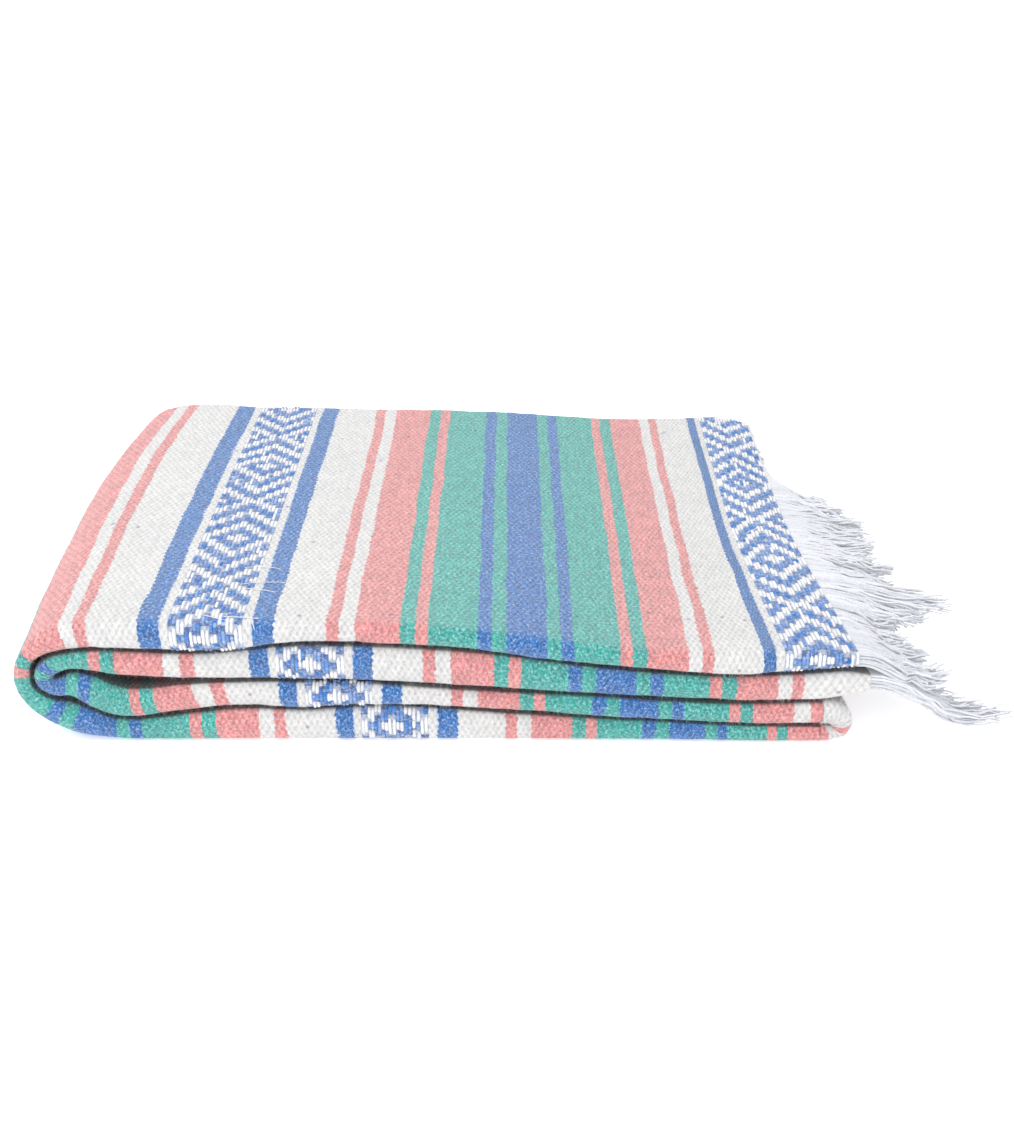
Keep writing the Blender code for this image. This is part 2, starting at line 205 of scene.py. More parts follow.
# Sections across a stretch: the roll at the back, the outer face, the front fold and the inner face, in lines of
# points with a y, a depth and a kind each.
def crossSections(run, spacing):
    height = np.hypot(run["ix"] - run["ox"], run["iz"] - run["oz"])[:, None]
    reach = np.minimum(pile["roundShare"] * height, pile["round"])
    half, radius = pile["depth"] / 2, pile["rollHeight"] / 2
    places = [(half - pile["rollLip"], pile["rollHeight"], 0)]
    for step in range(pile["rollSteps"] + 1):
        turn = math.pi * (step / pile["rollSteps"] - 0.5)
        places.append((half - radius + radius * math.cos(turn), radius - radius * math.sin(turn), 0))
    start = half - radius
    stop = -half + reach
    for share in np.linspace(0, 1, int(pile["depth"] / spacing["top"]))[1:-1]:
        places.append((start + (stop - start) * share, 0, 1))
    for step in range(spacing["front"] + 1):
        turn = math.pi * step / spacing["front"]
        full = abs(math.sin(turn)) ** pile["squareness"]
        places.append((-half + reach * (1 - full), height / 2 * (1 - math.cos(turn)), 2))
    for share in np.linspace(0, 1, int(pile["depth"] / spacing["under"]))[1:]:
        places.append((stop + (half - stop) * share, height, 3))
    y, depth, kind = zip(*places)
    return sideBySide(y, height), sideBySide(depth, height), np.array(kind)


# Places across a stretch; inset moves the outer line inwards, squarely to the cloth.
def layOut(run, y, depth, inset=0):
    height = np.hypot(run["ix"] - run["ox"], run["iz"] - run["oz"])
    alongX, alongZ = (run["ix"] - run["ox"]) / height, (run["iz"] - run["oz"]) / height
    tangentX, tangentZ = np.gradient(run["ox"]), np.gradient(run["oz"])
    lean = np.abs(alongX * tangentZ - alongZ * tangentX) / np.hypot(tangentX, tangentZ)
    start = inset / np.maximum(lean, 0.5)
    x = run["ox"][:, None] + alongX[:, None] * (depth + start[:, None])
    z = run["oz"][:, None] + alongZ[:, None] * (depth + start[:, None])
    return settle(x, y, z, run["draw"][:, None])


def gridNormals(points):
    across = np.gradient(points, axis=0)
    down = np.gradient(points, axis=1)
    normal = np.cross(across, down)
    return normal / np.maximum(np.linalg.norm(normal, axis=-1, keepdims=True), 1e-12)


# how far each point lies along the weft, counted from the front fold's foremost line
def weftLength(points, kind):
    steps = np.linalg.norm(np.diff(points, axis=1), axis=-1)
    total = np.concatenate([np.zeros((len(points), 1)), np.cumsum(steps, axis=1)], axis=1)
    front = np.flatnonzero(kind == 2)
    middle = front[len(front) // 2]
    return total[:, middle][:, None] - total


def meshFrom(name, points, faces, attributes, edges=()):
    mesh = bpy.data.meshes.new(name)
    mesh.from_pydata(points.tolist(), edges, faces)
    for key, values in attributes.items():
        values = np.asarray(values, np.float32)
        kind, field = ("FLOAT", "value") if values.ndim == 1 else ("FLOAT_VECTOR", "vector")
        mesh.attributes.new(key, kind, "POINT").data.foreach_set(field, values.ravel())
    mesh.update()
    mesh.shade_smooth()
    return mesh


def addPiece(name, mesh, material=None):
    piece = bpy.data.objects.new(name, mesh)
    if material:
        mesh.materials.append(material)
    scene.collection.objects.link(piece)
    return piece


# faces of a tube of point rings, with both ends shut
def tubeFaces(rings, around):
    index = np.arange(rings * around).reshape(rings, around)
    after = np.roll(index, -1, axis=1)
    faces = np.stack([index[:-1], index[1:], after[1:], after[:-1]], -1).reshape(-1, 4).tolist()
    return faces + [index[0][::-1].tolist(), index[-1].tolist()]


# A closed wall: a fine outer face, a coarser inner one and a rim that joins their points.
def wallMesh(name, outer, inner, step, attributes):
    rows, columns = outer.shape[:2]
    keepRows = sorted(set(range(0, rows, step)) | {rows - 1})
    keepColumns = sorted(set(range(0, columns, step)) | {columns - 1})
    index = np.arange(rows * columns).reshape(rows, columns)
    under = rows * columns + np.arange(len(keepRows) * len(keepColumns)).reshape(len(keepRows), -1)
    faces = np.stack([index[:-1, :-1], index[1:, :-1], index[1:, 1:], index[:-1, 1:]], -1).reshape(-1, 4).tolist()
    faces += np.stack([under[:-1, :-1], under[:-1, 1:], under[1:, 1:], under[1:, :-1]], -1).reshape(-1, 4).tolist()
    for low, high, a, b in zip(keepRows, keepRows[1:], under, under[1:]):
        faces.append(index[low:high + 1, 0][::-1].tolist() + [int(a[0]), int(b[0])])
        faces.append(index[low:high + 1, -1].tolist() + [int(b[-1]), int(a[-1])])
    for low, high, a, b in zip(keepColumns, keepColumns[1:], under.T, under.T[1:]):
        faces.append(index[0, low:high + 1].tolist() + [int(b[0]), int(a[0])])
        faces.append(index[-1, low:high + 1][::-1].tolist() + [int(a[-1]), int(b[-1])])
    pick = np.ix_(keepRows, keepColumns)
    points = np.concatenate([outer.reshape(-1, 3), inner[pick].reshape(-1, 3)])
    whole = {}
    for key, values in attributes.items():
        upper = values.reshape(rows * columns, -1)
        lower = values[pick].reshape(len(keepRows) * len(keepColumns), -1) * (key != "nap")
        whole[key] = np.concatenate([upper, lower]).squeeze()
    return meshFrom(name, points, faces, whole)


# creases laid on the top: x and y of each end, width, and depth below the face, in millimetres
creases = (
    (-205, -150, -222, 20, 16, 1.1), (-120, -158, -140, -60, 20, 0.9), (-30, -158, -12, -20, 26, 1.0),
    (60, -150, 40, 60, 24, 0.9), (112, -155, 122, 40, 14, 0.9), (150, -150, 140, 10, 10, 0.8),
    (-80, 20, -60, 150, 26, 0.9), (20, 60, 100, 140, 22, 0.8), (-190, 60, -150, 150, 20, 0.8),
    (150, 60, 120, 150, 14, 0.7),
)


def creaseDepth(x, y):
    total = np.zeros(np.broadcast(x, y).shape)
    for ax, ay, bx, by, width, depth in np.array(creases, float) * mm:
        along = np.clip(((x - ax) * (bx - ax) + (y - ay) * (by - ay)) / ((bx - ax) ** 2 + (by - ay) ** 2), 0, 1)
        away = np.hypot(x - ax - along * (bx - ax), y - ay - along * (by - ay))
        total += depth * np.exp(-(away / width) ** 2) * np.sin(math.pi * np.clip(along, 0.02, 0.98)) ** 0.4
    return total


# soft relief on the cloth: height, size along and size across of each layer of noise
relief = {
    "layers": ((0.9 * mm, 0.055, 0.075), (0.45 * mm, 0.021, 0.034), (0.22 * mm, 0.0062, 0.0095)),
    "folds": ((0.5 * mm, 0.03, math.inf), (0.28 * mm, 0.0045, 0.02)),  # on the front folds alone
    "foldReach": 11 * mm,
    "frontFrom": 6 * mm,  # the front fold counts as visible to here, and fades out over the next length
    "frontOver": 12 * mm,
    "floor": 3 * mm,  # lower faces keep flat on the floor
    "seamFrom": 0.94,  # where a seam's shadow starts, as a share of half the fold's height
    "seamOver": 0.16,
    # where the painted top light starts away from a fold's foremost line, and how far it fades in
    "topLightFrom": 2 * mm,
    "topLightOver": 8 * mm,
    "napAll": 0.25,  # how much of the fuzz stands on visible cloth, and how much more on front folds
    "napFront": 0.5,
}


# One stretch's cloth, with its soft relief. shown gives the faces that show (1) or lie hidden (0), and how much
# painted shade each side's seams get.
def makeCloth(name, rows, anchors, spacing, shown, seed):
    run = makeRun(rows, anchors, spacing["along"])
    y, depth, kind = crossSections(run, spacing)
    base = layOut(run, y, depth)
    normal = gridNormals(base)
    weft = weftLength(base, kind)
    along = run["at"][:, None]
    nearFront = smooth(1 - (np.abs(weft) - relief["frontFrom"]) / relief["frontOver"])
    visible = np.where(kind[None, :] == 3, shown["inner"], shown["outer"]) * (1 - nearFront) + nearFront
    count = len(relief["layers"])
    waves = [tall * softNoise(along / long, weft / wide, seed + number)
             for number, (tall, long, wide) in enumerate(relief["layers"] + relief["folds"])]
    up = normal[..., 2] > 0.3
    lift = sum(waves[:count]) - np.where(up, creaseDepth(base[..., 0], base[..., 1]), 0)
    lift = np.where(base[..., 2] < relief["floor"], 0, lift) * visible
    lift = lift + smooth(1 - np.abs(weft) / relief["foldReach"]) * sum(waves[count:])
    outer = base + normal * lift[..., None]
    outer[..., 2] = np.maximum(outer[..., 2], 0)
    inner = base - normal * pile["wall"]
    half = 0.5 * np.hypot(run["ix"] - run["ox"], run["iz"] - run["oz"])[:, None]
    # painted shade: the colour darkens towards the seams between bands, where two folds meet
    seamShadeMask = smooth((np.abs(weft) / half - relief["seamFrom"]) / relief["seamOver"])
    shade = seamShadeMask * np.where(weft < 0, shown["innerSeamShade"], shown["outerSeamShade"])
    # painted light: visible upward faces are mixed towards white, since the top catches more light
    pale = smooth((np.abs(weft) - relief["topLightFrom"]) / relief["topLightOver"])
    attributes = {"weave": np.stack([run["phase"][:, None] + 0 * weft, weft, shade], -1),
                  "pale": smooth(normal[..., 2] * 1.4 - 0.3) * visible * pale,
                  "nap": relief["napAll"] * visible + relief["napFront"] * nearFront}
    mesh = wallMesh(name, outer, inner, spacing["coarse"], attributes)
    run.update(outer=outer, normal=gridNormals(outer), weft=weft, kind=kind)
    return run, mesh


print("form ready")


# node helpers: where no tree is given, the first input is a socket that tells it
def addNode(tree, kind, inputs=None, **settings):
    node = tree.nodes.new(kind)
    for key, value in settings.items():
        setattr(node, key, value)
    for key, value in (inputs or {}).items():
        feed(node.inputs[key], value)
    return node


def feed(socket, value):
    if isinstance(value, bpy.types.NodeSocket):
        socket.id_data.links.new(value, socket)
    else:
        socket.default_value = value


def maths(operation, *values):
    return addNode(values[0].id_data, "ShaderNodeMath", dict(enumerate(values)), operation=operation).outputs[0]


def times(first, second):
    return maths("MULTIPLY", first, second)


def plus(first, second):
    return maths("ADD", first, second)


def vectorMaths(operation, first, second):
    return addNode(first.id_data, "ShaderNodeVectorMath", {0: first, 1: second}, operation=operation).outputs[0]


def mixColour(factor, first, second, blend="MIX"):
    mix = addNode(factor.id_data, "ShaderNodeMix", data_type="RGBA", blend_type=blend)
    for k, value in ((0, factor), (6, first), (7, second)):
        feed(mix.inputs[k], value)
    return mix.outputs[2]


def noise(vector, scale, detail, roughness):
    return addNode(vector.id_data, "ShaderNodeTexNoise", {"Vector": vector, "Scale": scale, "Detail": detail,
                                                          "Roughness": roughness}).outputs[0]


# noise that strays half of size either way
def wobble(vector, size, scale, detail, roughness):
    return times(maths("SUBTRACT", noise(vector, scale, detail, roughness), 0.5), size)


def between(value, low, high, toLow=0.0, toHigh=1.0):
    numbers = dict(enumerate((value, low, high, toLow, toHigh)))
    return addNode(value.id_data, "ShaderNodeMapRange", numbers, interpolation_type="SMOOTHSTEP").outputs[0]


def carried(tree, name):
    return addNode(tree, "ShaderNodeAttribute", attribute_name=name).outputs["Fac"]


def startMaterial(name, roughness, sheen):
    material = bpy.data.materials.new(name)
    material.use_nodes = True
    tree = material.node_tree
    shader = tree.nodes["Principled BSDF"]
    for socket, value in (("Roughness", roughness), ("Specular IOR Level", 0.25), ("Sheen Weight", sheen),
                          ("Sheen Roughness", 0.6)):
        shader.inputs[socket].default_value = value
    place = addNode(tree, "ShaderNodeAttribute", attribute_name="weave")
    return material, tree, shader, place.outputs["Vector"]


def addBump(shader, height, strength, distance):
    bump = addNode(height.id_data, "ShaderNodeBump", {"Strength": strength, "Distance": distance,
                                                      "Height": height})
    feed(shader.inputs["Normal"], bump.outputs[0])


# how strong a colour is, from low for white yarn to 1 for full dye
def vividness(colour, low):
    parts = addNode(colour.id_data, "ShaderNodeSeparateColor", {0: colour}, mode="HSV")
    return plus(times(parts.outputs[1], 1 - low), low)


# colours that the yarn's fibres turn to, with the painted shade between bands and the painted shade in the weave's
# dips; all but the pale one multiply
fibres = {
    "pale": (0.88, 0.88, 0.87, 1), "dark": (0.3, 0.31, 0.36, 1), "streak": (0.62, 0.63, 0.68, 1),
    "slow": (0.8, 0.8, 0.83, 1), "nub": (0.32, 0.24, 0.42, 1), "seamShade": (0.03, 0.03, 0.035, 1),
    "dipShade": (0.42, 0.43, 0.47, 1),
}


# wool-like yarn: pale and dark fibres in it, most in dyed yarn, and a slow change of tone
def heathered(colour, place, light, dark, streaked):
    fine = noise(place, 640, 3.0, 0.75)
    streak = noise(vectorMaths("MULTIPLY", place, (1, 0.35, 1)), 270, 4.0, 0.75)
    slow = noise(place, 24, 2.0, 0.5)
    vivid = vividness(colour, 0.4)
    darker = times(between(fine, 0.48, 0.37, 0, dark), vivid)
    streaks = times(between(streak, 0.44, 0.56, 0.0, streaked), vivid)
    colour = mixColour(between(fine, 0.51, 0.62, 0, light), colour, fibres["pale"])
    colour = mixColour(darker, colour, fibres["dark"], "MULTIPLY")
    colour = mixColour(streaks, colour, fibres["streak"], "MULTIPLY")
    return mixColour(between(slow, 0.3, 0.7, 0.0, 0.2), colour, fibres["slow"], "MULTIPLY")


# the cloth's finish; lengths are the real ones
cloth = {
    "ragged": 3.4 * mm,  # how far a stripe's edge strays, finely
    "drift": 3.2 * mm,  # and slowly
    "tooth": 1.9 * mm,  # picks step the edge to and fro
    "toothShare": 0.34,
    "nubs": 62,
    "nubSize": (0.1, 0.06),
    "nubShare": 0.6,
    # how much the painted top light whitens upward faces
    "paintedTopLight": 0.05,
    # how dark the painted shade between bands gets
    "seamShadeShare": 0.85,
    "ends": 3.4 * mm,  # warp threads' and picks' distance apart
    "picks": 6.5 * mm,
    "jitter": 1.5 * mm,
    # how dark the painted shade in the weave's dips gets
    "dipShadeShare": 0.5,
    "relief": 1.6 * mm,
}


# the woven cloth: stripes by the place in their repeat, the diamond field by its blocks, and the weave's bumps;
# with painted top light, painted sheen, painted shade between bands and painted shade in the weave's dips
def clothMaterial(name, paintedSheen, bumpStrength):
    material, tree, shader, place = startMaterial(name, 0.92, 0.35)
    phase, weft, shade = addNode(tree, "ShaderNodeSeparateXYZ", {0: place}).outputs
    plain = addNode(tree, "ShaderNodeCombineXYZ", {0: phase, 1: weft}).outputs[0]
    ragged = wobble(plain, cloth["ragged"], 330, 3.0, 0.65)
    slow = wobble(plain, cloth["drift"], 28, 1.0, 0.5)
    step = maths("SUBTRACT", maths("PINGPONG", weft, cloth["tooth"]), cloth["tooth"] / 2)
    edge = plus(plus(phase, ragged), plus(slow, times(step, cloth["toothShare"])))
    mirror = weave["period"] / 2
    folded = maths("PINGPONG", edge, mirror)
    ramp = addNode(tree, "ShaderNodeValToRGB", {0: maths("DIVIDE", folded, mirror)})
    ramp.color_ramp.interpolation = "CONSTANT"
    at, total = 0, sum(width for width, yarn in weave["stripes"])
    for number, (width, yarn) in enumerate(weave["stripes"]):
        stops = ramp.color_ramp.elements
        stop = stops[number] if number < 2 else stops.new(at / total)
        stop.position = at / total
        stop.color = linear(yarn)
        at += width
    # the field's floats, in columns that start later towards the borders
    offset = maths("PINGPONG", plus(phase, times(ragged, 0.3)), mirror)
    column = maths("ROUND", maths("DIVIDE", offset, weave["column"]))
    bent = maths("PINGPONG", plus(weft, ragged), weave["turn"])
    later = plus(times(column, weave["slant"]), weave["start"])
    turn = maths("FRACT", maths("DIVIDE", plus(bent, later), 2 * weave["float"]))
    # ground between floats: mixed yarns with painted shade, so each float shows a dark outline
    blocks = mixColour(maths("LESS_THAN", turn, 0.5), linear("groundWhiteShaded"), linear("groundBlueShaded"))
    half = weave["column"] * weave["columns"] / 2
    inBand = maths("LESS_THAN", offset, weave["stripes"][0][0] * mm)
    white = times(inBand, maths("GREATER_THAN", offset, half))
    colour = mixColour(maths("LESS_THAN", offset, half), ramp.outputs[0], blocks)
    colour = heathered(mixColour(white, colour, linear("white")), plain, 0.42, 0.5, 0.6)
    nub = addNode(tree, "ShaderNodeTexVoronoi", {"Vector": plain, "Scale": cloth["nubs"]}).outputs["Distance"]
    rare = times(between(nub, *cloth["nubSize"]), cloth["nubShare"])
    colour = mixColour(rare, colour, fibres["nub"], "MULTIPLY")
    # painted light: the painted top light on upward faces and the nap's painted sheen, both mixed towards white
    amount = plus(times(carried(tree, "pale"), cloth["paintedTopLight"]), paintedSheen)
    colour = mixColour(amount, colour, linear("white"))
    # painted shade between bands, darkest where two folds meet
    colour = mixColour(times(shade, cloth["seamShadeShare"]), colour, fibres["seamShade"], "MULTIPLY")
    # each pick crosses the warps in turn, so the bumps lie in quincunx and run into ribs along the weft
    jitter = wobble(plain, cloth["jitter"], 160, 2.0, 0.5)
    a = times(plus(phase, jitter), math.pi / cloth["ends"])
    b = times(plus(weft, jitter), math.pi / cloth["picks"])
    crossings = [maths("ABSOLUTE", times(maths(wave, a), maths(wave, b)))
                 for wave in ("COSINE", "SINE")]
    woven = times(maths("MAXIMUM", *crossings), 0.6)
    # painted shade: the colour darkens in the weave's low places between crossings, most on dyed yarn
    low = plus(times(noise(plain, 300, 2.0, 0.6), 0.5), woven)
    dipShade = times(between(low, 0.72, 0.4, 0.0, cloth["dipShadeShare"]), vividness(colour, 0.6))
    feed(shader.inputs["Base Color"], mixColour(dipShade, colour, fibres["dipShade"], "MULTIPLY"))
    fuzzy = times(noise(plain, 900, 4.0, 0.7), 0.75)
    addBump(shader, plus(woven, fuzzy), bumpStrength, cloth["relief"])
    return material


# loose yarn: its colour comes with each strand, and its place runs along the strand
def yarnMaterial(name, base, other, speckle):
    material, tree, shader, place = startMaterial(name, 0.9, 0.3)
    colour = mixColour(carried(tree, "tint"), linear(base), linear(other))
    feed(shader.inputs["Base Color"], heathered(colour, place, 0.3, speckle, 0.3))
    fuzzy = noise(vectorMaths("MULTIPLY", place, (1, 1, 0.35)), 900, 3.0, 0.7)
    addBump(shader, fuzzy, 0.5, 0.5 * mm)
    return material


clothFinish = clothMaterial("striped_cloth", 0.0, 0.95)
# the fuzz's cloth is the same cloth mixed a quarter towards white, a painted sheen
napFinish = clothMaterial("striped_nap", 0.25, 0.2)
fringeFinish = yarnMaterial("fringe_yarn", "fringe", "fringePale", 0.1)
# painted glow: the loose yarn gives off a little light of its own, standing in for light that passes through it,
# and lifts its shadows
fringeGlow = fringeFinish.node_tree.nodes["Principled BSDF"]
fringeGlow.inputs["Emission Color"].default_value = (0.86, 0.87, 0.92, 1)
fringeGlow.inputs["Emission Strength"].default_value = 0.1
floatFinish = yarnMaterial("float_yarn", "white", "blue", 0.35)
edgeFinish = clothMaterial("layered_edge", 0.0, 0.9)
print("materials ready")


def startTree(name, inputs):
    tree = bpy.data.node_groups.new(name, "GeometryNodeTree")
    tree.interface.new_socket("Geometry", in_out="INPUT", socket_type="NodeSocketGeometry")
    for key, kind in inputs.items():
        tree.interface.new_socket(key, in_out="INPUT", socket_type="NodeSocket" + kind)
    tree.interface.new_socket("Geometry", in_out="OUTPUT", socket_type="NodeSocketGeometry")
    return tree, addNode(tree, "NodeGroupInput").outputs


def endTree(tree, given, geometry):
    real = addNode(tree, "GeometryNodeRealizeInstances", {0: geometry})
    paint = addNode(tree, "GeometryNodeSetMaterial", {"Geometry": real.outputs[0], "Material": given["Material"]})
    addNode(tree, "NodeGroupOutput", {0: paint.outputs[0]})
    return tree


def named(tree, name):
    return addNode(tree, "GeometryNodeInputNamedAttribute", {"Name": name}, data_type="FLOAT").outputs["Attribute"]


# a strand tree: the guide's edges become yarn, each as thick as its own "thick" value, and "loose" lets it wander
def strandTree(name):
    tree, given = startTree(name, {"Wave": "Float", "Wave size": "Float", "Sides": "Int", "Material": "Material"})
    lines = addNode(tree, "GeometryNodeMeshToCurve", {"Mesh": given["Geometry"]})
    place = addNode(tree, "GeometryNodeInputPosition").outputs[0]
    wander = addNode(tree, "ShaderNodeTexNoise", {"Vector": place, "Scale": given["Wave size"], "Detail": 1})
    centred = vectorMaths("SUBTRACT", wander.outputs["Color"], (0.5, 0.5, 0.5))
    amount = times(named(tree, "loose"), given["Wave"])
    scaled = addNode(tree, "ShaderNodeVectorMath", {0: centred, "Scale": amount}, operation="SCALE")
    shift = addNode(tree, "GeometryNodeSetPosition", {"Geometry": lines.outputs[0], "Offset": scaled.outputs[0]})
    ring = addNode(tree, "GeometryNodeCurvePrimitiveCircle", {"Resolution": given["Sides"], "Radius": 1})
    skin = addNode(tree, "GeometryNodeCurveToMesh", {"Curve": shift.outputs[0], "Profile Curve": ring.outputs[0],
                                                     "Scale": named(tree, "thick"), "Fill Caps": True})
    soft = addNode(tree, "GeometryNodeSetShadeSmooth", {"Geometry": skin.outputs[0]})
    return endTree(tree, given, soft.outputs[0])


# a nap tree: short tapering fibres stand on the cloth where its "nap" value asks for them
def napTree(name):
    tree, given = startTree(name, {"Density": "Float", "Length": "Float", "Thickness": "Float", "Lean": "Float",
                                   "Seed": "Int", "Material": "Material"})
    density = times(named(tree, "nap"), given["Density"])
    spread = addNode(tree, "GeometryNodeDistributePointsOnFaces", {"Mesh": given["Geometry"], "Density": density,
                                                                   "Seed": given["Seed"]})
    fibre = addNode(tree, "GeometryNodeMeshCone", {
        "Vertices": 3, "Side Segments": 1, "Radius Top": 0, "Radius Bottom": given["Thickness"],
        "Depth": given["Length"]}, fill_type="NGON")
    turns = addNode(tree, "FunctionNodeRandomValue", {0: (-1, -1, 0), 1: (1, 1, 6.28)}, data_type="FLOAT_VECTOR")
    ways = addNode(tree, "ShaderNodeCombineXYZ", {0: given["Lean"], 1: given["Lean"], 2: 1})
    lean = vectorMaths("MULTIPLY", turns.outputs[0], ways.outputs[0])
    tilt = addNode(tree, "FunctionNodeEulerToRotation", {0: lean})
    pose = addNode(tree, "FunctionNodeRotateRotation", {0: spread.outputs["Rotation"], 1: tilt.outputs[0]},
                   rotation_space="LOCAL")
    size = addNode(tree, "FunctionNodeRandomValue", {2: 0.5, 3: 1.15}, data_type="FLOAT")
    stand = addNode(tree, "GeometryNodeInstanceOnPoints", {
        "Points": spread.outputs["Points"], "Instance": fibre.outputs[0], "Rotation": pose.outputs[0],
        "Scale": size.outputs[1]})
    return endTree(tree, given, stand.outputs[0])


# runs a tree on a guide mesh and keeps the result as a plain mesh
def grow(name, mesh, tree, values):
    guide = addPiece(name + "_guide", mesh)
    modifier = guide.modifiers.new("grow", "NODES")
    modifier.node_group = tree
    for item in tree.interface.items_tree:
        if item.in_out == "INPUT" and item.name in values:
            modifier[item.identifier] = values[item.name]
    made = bpy.data.meshes.new_from_object(guide.evaluated_get(bpy.context.evaluated_depsgraph_get()))
    made.name = name
    places = np.empty(len(made.vertices) * 3, np.float32)
    made.vertices.foreach_get("co", places)
    places[2::3] = np.maximum(places[2::3], 0.2 * mm)  # nothing reaches through the floor
    made.vertices.foreach_set("co", places)
    bpy.data.objects.remove(guide, do_unlink=True)
    return addPiece(name, made)


# one open line of edges for each strand, with its values at every point
def strandGuide(name, lines, attributes):
    count, points = lines.shape[:2]
    index = np.arange(count * points).reshape(count, points)
    edges = np.stack([index[:, :-1], index[:, 1:]], -1).reshape(-1, 2).tolist()
    flat = {key: values.reshape(count * points, -1).squeeze() for key, values in attributes.items()}
    return meshFrom(name + "_lines", lines.reshape(-1, 3), [], flat, edges)


strands = strandTree("strands")
naps = napTree("nap")

# The three stretches of cloth. Anchors: x at the front, side of the turn, and place in the stripes' repeat.
stretches = {
    "outer": {
        "rows": outerRows,
        "anchors": ((180.5, 0, 341), (138.3, 0, 299.55), (132.1, 0, 288.75), (9.5, 0, 161.2), (-155, 0, 0),
                    (-229.8, 0, -73.85), (-220, 1, -161.2), (-91, 1, -288.75), (-62, 1, -322.4),
                    (-27.5, 1, -356.05), (95.3, 1, -483.6), (148.7, 1, -547.95), (166, 1, -565.5)),
        "spacing": {"along": 1.6 * mm, "top": 3.4 * mm, "under": 9 * mm, "front": 22, "coarse": 4},
        "shown": {"outer": 1, "inner": 0, "innerSeamShade": 1, "outerSeamShade": 0},
        "seed": 11,
    },
    "inner": {
        "rows": innerRows,
        "anchors": ((188.5, 0, 287.5), (154.3, 0, 262.15), (56, 0, 161.2), (-71, 0, 33.65), (-103, 0, 0),
                    (-134, 0, -33.65), (-203.4, 0, -96.85), (-184.5, 1, -225.55), (-120, 1, -288.75),
                    (-90, 1, -322.4), (-56.6, 1, -356.05), (68.7, 1, -483.6), (150.9, 1, -570.95),
                    (166, 1, -584.5)),
        "spacing": {"along": 1.6 * mm, "top": 14 * mm, "under": 14 * mm, "front": 20, "coarse": 4},
        "shown": {"outer": 0, "inner": 0, "innerSeamShade": 1, "outerSeamShade": 1},
        "seed": 31,
    },
    "rightFold": {
        "rows": rightFoldRows,
        "anchors": ((165.9, 0, -565.5), (165.9, 1, -605.5)),
        "spacing": {"along": 1.4 * mm, "top": 5 * mm, "under": 9 * mm, "front": 18, "coarse": 3},
        "shown": {"outer": 1, "inner": 0, "innerSeamShade": 0.4, "outerSeamShade": 0},
        "seed": 51,
    },
}
runs, cloths = {}, {}
for name, stretch in stretches.items():
    runs[name], mesh = makeCloth(name + "Cloth", **stretch)
    cloths[name] = addPiece(name + "Cloth", mesh, clothFinish)
    print(name, "cloth:", len(mesh.polygons), "faces, length", round(float(runs[name]["at"][-1]), 3))

# The hidden layers of a stretch, one closed form: stacked edges show at the back, under the roll.
layers = {
    "setback": 0.6 * mm, "step": 4 * mm, "grooves": 3, "groove": 0.9 * mm, "lump": 0.25 * mm,
    "flatSteps": 12, "arcSteps": 6, "backSteps": 24,
    "phase": 0.2, "across": 3 * mm,  # where the edges' finish reads the stripes, and its step round them
}


def makeLayers(name, rows, slack):
    run = makeRun(rows, ((rows[0][0], 0, 0), (rows[-1][0], 1, 300)), layers["step"])
    inset = pile["wall"] + pile["gap"]
    whole = np.hypot(run["ix"] - run["ox"], run["iz"] - run["oz"])[:, None]
    height = whole - 2 * inset
    reach = np.minimum(pile["roundShare"] * whole, pile["round"]) - inset
    half = pile["depth"] / 2
    back, stepY = half - layers["setback"], half - pile["rollLip"] - pile["gap"]
    stepDepth = pile["rollHeight"] - pile["wall"] + slack
    places = []
    for share in np.linspace(0, 1, layers["backSteps"] + 1):
        groove = abs(math.cos(math.pi * share * layers["grooves"])) ** 8 * (0 < share < 1)
        places.append((back - layers["groove"] * groove, height + (stepDepth - height) * share))
    places += [(stepY, stepDepth), (stepY, 0)]
    stop = -half + inset + reach
    for share in np.linspace(0, 1, layers["flatSteps"] + 1)[1:]:
        places.append((stepY + (stop - stepY) * share, 0))
    for turn in np.linspace(0, math.pi, layers["arcSteps"] + 1)[1:]:
        places.append((-half + inset + reach * (1 - math.sin(turn)), height / 2 * (1 - math.cos(turn))))
    for share in np.linspace(0, 1, layers["flatSteps"] + 1)[1:-1]:
        places.append((stop + (back - stop) * share, height))
    y, depth = (sideBySide(columns, height) for columns in zip(*places))
    points = layOut(run, y, depth, inset)
    bump = layers["lump"] * softNoise(run["at"][:, None] / 0.004, np.arange(points.shape[1])[None, :] / 3, 5)
    points[:, 1:layers["backSteps"], 1] += bump[:, 1:layers["backSteps"]] - layers["lump"]
    count, around = points.shape[:2]
    weft = np.broadcast_to(np.arange(around)[None, :] * layers["across"], (count, around))
    phase = np.broadcast_to(run["at"][:, None] + layers["phase"], (count, around))
    place = np.stack([phase, weft, 0 * weft], -1).reshape(-1, 3)
    return meshFrom(name, points.reshape(-1, 3), tubeFaces(count, around), {"weave": place})


# Fringes: a strip of knotted yarn ends and the loose warps that leave it, in locks.
# y, reach to the right, drop and sideways drift of the tips there, in millimetres
topFringe = {
    "rows": ((-159, 54, 17, 6), (-128, 46, 15, 2), (-104, 42, 12, -4), (-90, 56, 10, -6), (-80, 74, 9, -8),
             (-64, 62, 8, -8), (-45, 54, 7, -8), (-10, 50, 6, -8), (24, 50, 6, -8), (40, 42, 7, -8),
             (60, 27, 9, -7), (75, 15, 16, -5), (159, 12, 22, -2)),
    "end": outerRows[0], "across": 310, "levels": 5, "seed": 3,
}
secondFringe = {
    "rows": ((-159, 88, 34, 12), (-138, 78, 32, 7), (-118, 60, 27, 0), (-95, 46, 20, -4), (-60, 44, 17, -5),
             (-20, 32, 16, -5), (15, 20, 17, -4), (45, 9, 18, -3), (75, 4, 17, -2), (159, 3.5, 17, -1)),
    "end": innerRows[0], "across": 310, "levels": 5, "seed": 8,
}
